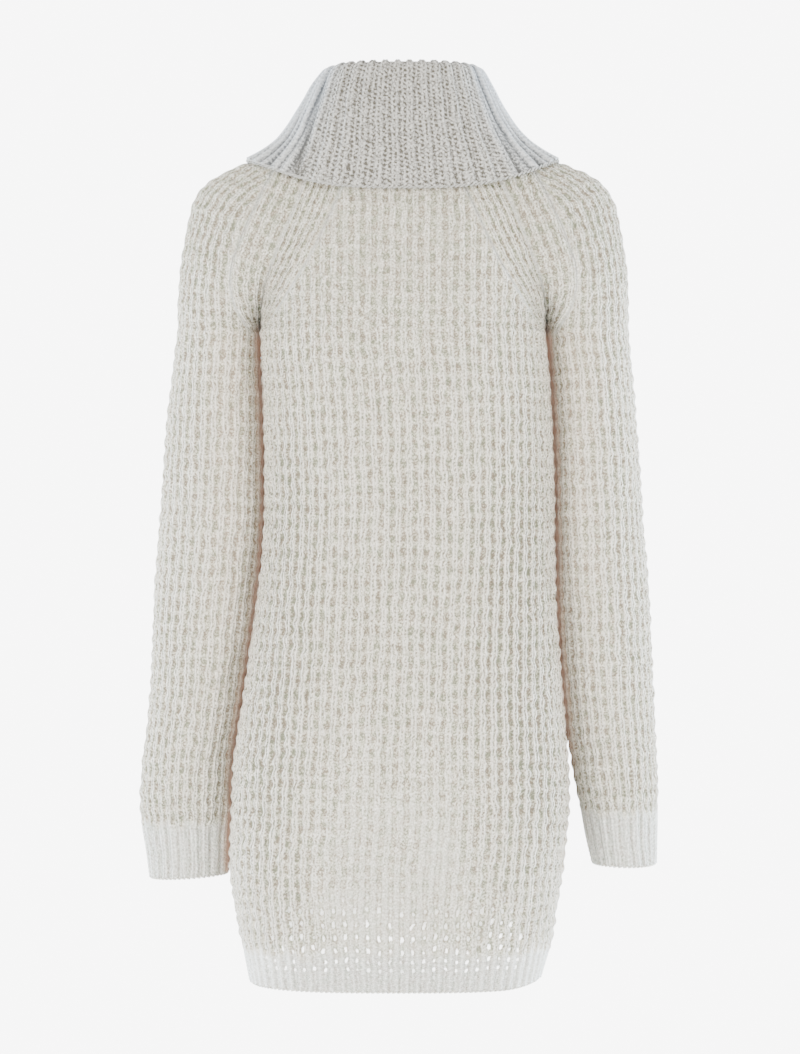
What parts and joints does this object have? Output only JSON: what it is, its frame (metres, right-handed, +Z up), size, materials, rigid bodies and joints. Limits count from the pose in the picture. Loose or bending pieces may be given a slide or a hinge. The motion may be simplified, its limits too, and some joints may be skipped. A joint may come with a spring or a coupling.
{
  "type": "sweater dress",
  "caption": "Long knitted raglan sweater dress held open as on a wearer, with a folded rib collar, long sleeves with ribbed cuffs and a ribbed hem.",
  "frame": {"origin": "middle of the base of the wearer's neck, between the two shoulders", "axes": "+Z up along the dress towards the collar, -Y to the back of the dress, +Y to its front, +X to the wearer's right"},
  "size_m": [0.5174, 0.2379, 0.9081],
  "materials": {
    "waffle_knit": "matt cream waffle knit of a soft chunky yarn",
    "rib_knit": "matt cream rib knit of the same yarn"
  },
  "bodies": {
    "root": {"back_panel": "waffle_knit", "front_panel": "waffle_knit", "sleeve_left": "waffle_knit", "sleeve_right": "waffle_knit", "collar": "rib_knit"}
  },
  "joints": []
}
